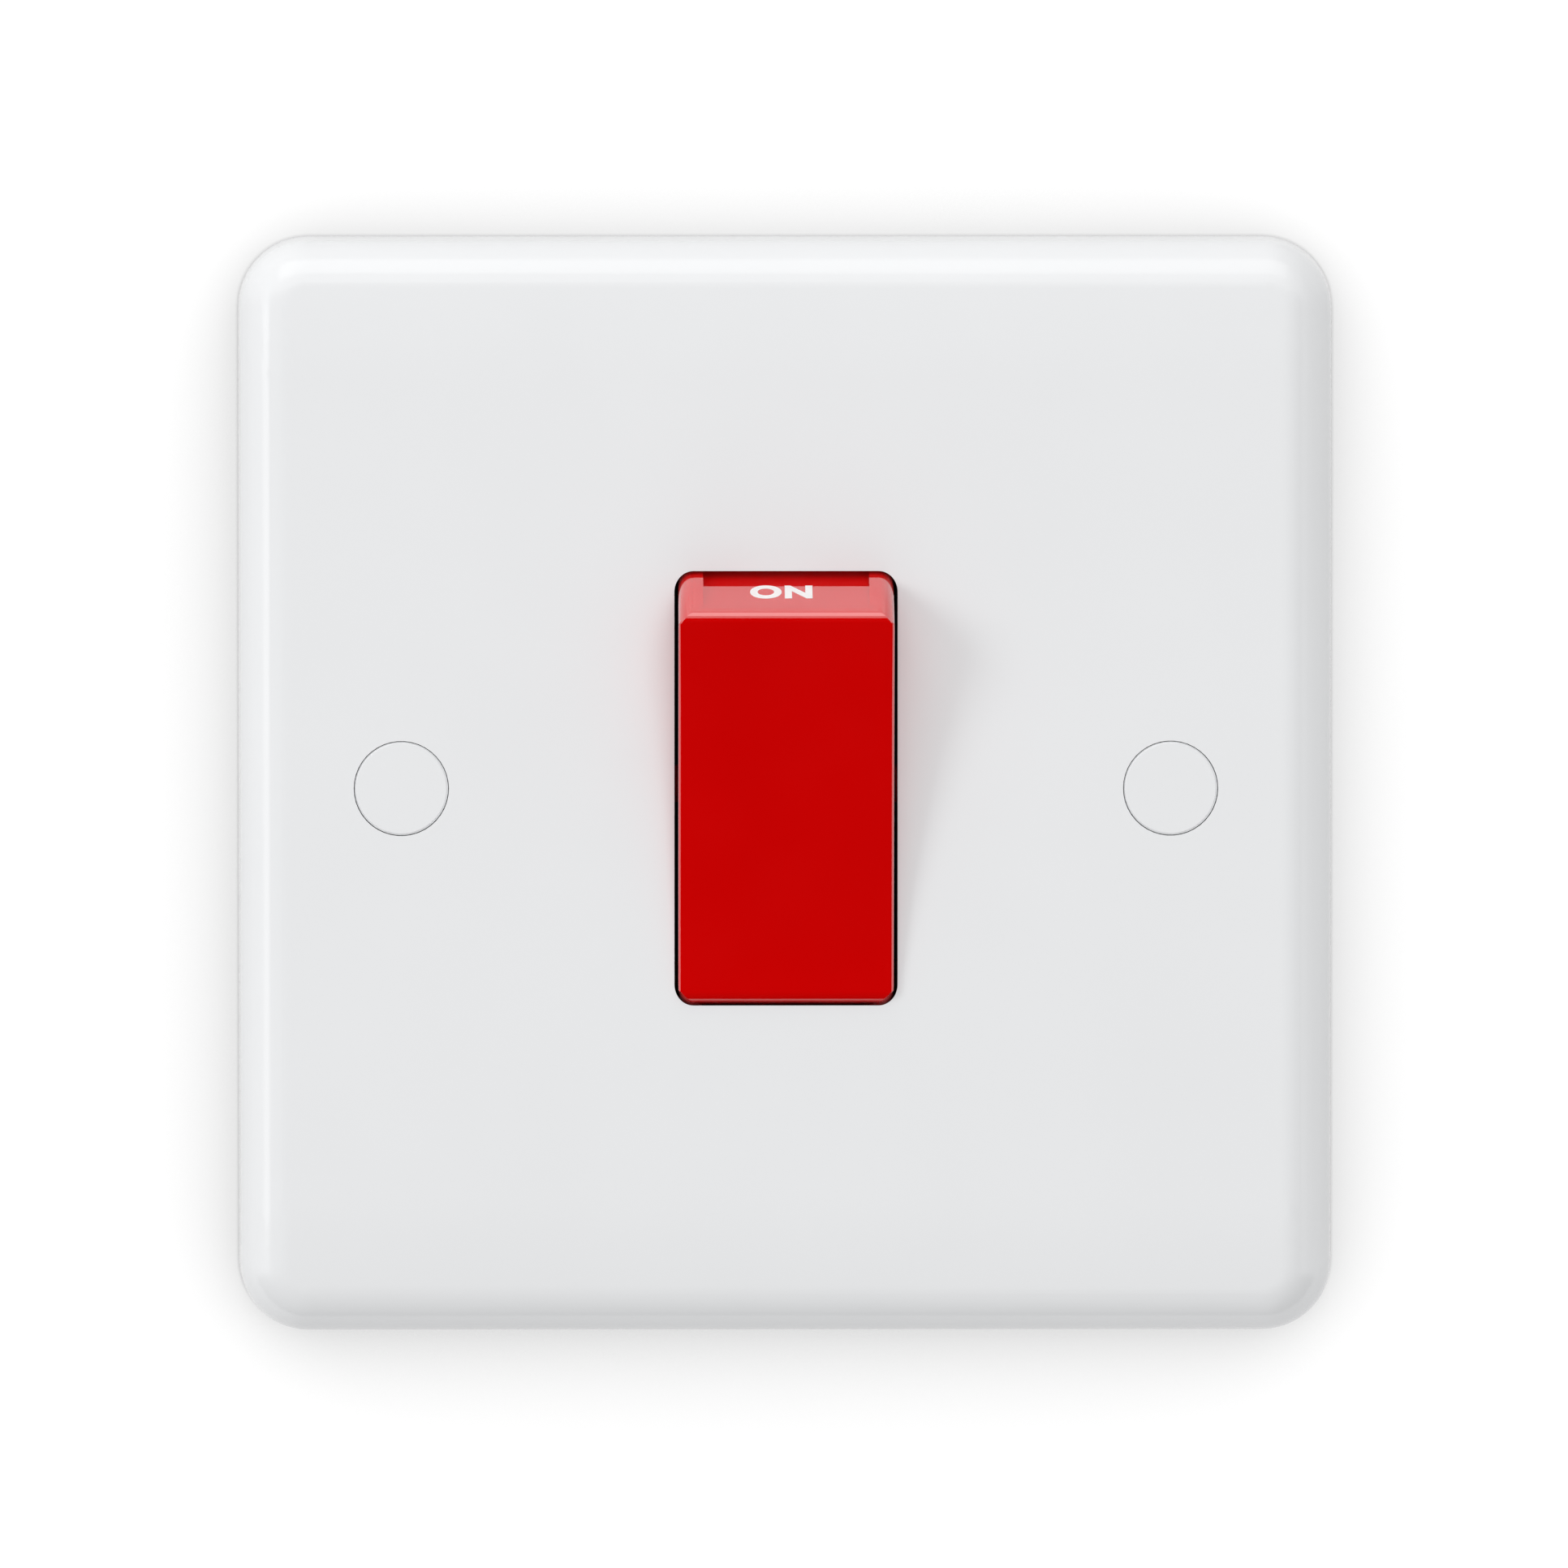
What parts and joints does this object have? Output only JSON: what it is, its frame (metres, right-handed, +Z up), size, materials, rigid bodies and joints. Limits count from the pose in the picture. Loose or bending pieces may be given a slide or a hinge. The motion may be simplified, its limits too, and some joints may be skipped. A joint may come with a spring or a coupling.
{
  "type": "double pole switch",
  "caption": "Square white wall switch plate with a red rocker, capped fixing holes and a boxed two pole contact mechanism with brass terminals behind.",
  "frame": {"origin": "middle of the plate's back, on the face of the wall, midway between the fixing holes", "axes": "+X right and +Z up as seen from the room, +Y into the wall; the front faces -Y"},
  "size_m": [0.086, 0.0357, 0.086],
  "materials": {
    "white_plastic": "gloss white urea moulding",
    "red_plastic": "gloss red moulding",
    "dark_phenolic": "fine matt charcoal moulding",
    "brass": "machined brass",
    "copper": "stamped copper",
    "silver": "silver rivet",
    "zinc_steel": "bright zinc plated steel",
    "spring_steel": "drawn spring wire",
    "nylon": "natural nylon"
  },
  "bodies": {
    "base": {"front_plate": "white_plastic", "left_screw_cap": "white_plastic", "right_screw_cap": "white_plastic", "rear_housing": "dark_phenolic", "housing_screws": "zinc_steel", "left_fixed_tip": "silver", "right_fixed_tip": "silver", "left_load_terminal": "brass", "left_load_screws": "zinc_steel", "left_supply_terminal": "brass", "left_supply_screws": "zinc_steel", "right_load_terminal": "brass", "right_load_screws": "zinc_steel", "right_supply_terminal": "brass", "right_supply_screws": "zinc_steel"},
    "rocker": {"rocker": "red_plastic", "left_spring": "spring_steel", "right_spring": "spring_steel"},
    "left_plunger": {"left_plunger": "nylon"},
    "right_plunger": {"right_plunger": "nylon"},
    "left_arm": {"left_contact_arm": "copper", "left_moving_tip": "silver"},
    "right_arm": {"right_contact_arm": "copper", "right_moving_tip": "silver"}
  },
  "joints": [
    {"name": "rocker_tilt", "type": "hinge", "parent": "base", "child": "rocker", "pos_m": [0, -0.0017, 0], "axis": [-1, 0, 0], "range_deg": [0, 16]},
    {"name": "left_plunger_slide", "type": "slide", "parent": "rocker", "child": "left_plunger", "axis": [0, -0.9903, -0.1392], "range_m": [0, 0.0012], "stiffness_N_per_m": 250, "deforming": ["left_spring"]},
    {"name": "left_arm_rock", "type": "hinge", "parent": "base", "child": "left_arm", "pos_m": [-0.0044, 0.01203, 0], "axis": [1, 0, 0], "range_deg": [0, 16]},
    {"name": "right_plunger_slide", "type": "slide", "parent": "rocker", "child": "right_plunger", "axis": [0, -0.9903, -0.1392], "range_m": [0, 0.0012], "stiffness_N_per_m": 250, "deforming": ["right_spring"]},
    {"name": "right_arm_rock", "type": "hinge", "parent": "base", "child": "right_arm", "pos_m": [0.0044, 0.01203, 0], "axis": [1, 0, 0], "range_deg": [0, 16]}
  ],
  "couplings": [
    {"joint": "left_arm_rock", "follows": "rocker_tilt", "ratio": 1},
    {"joint": "right_arm_rock", "follows": "rocker_tilt", "ratio": 1}
  ]
}
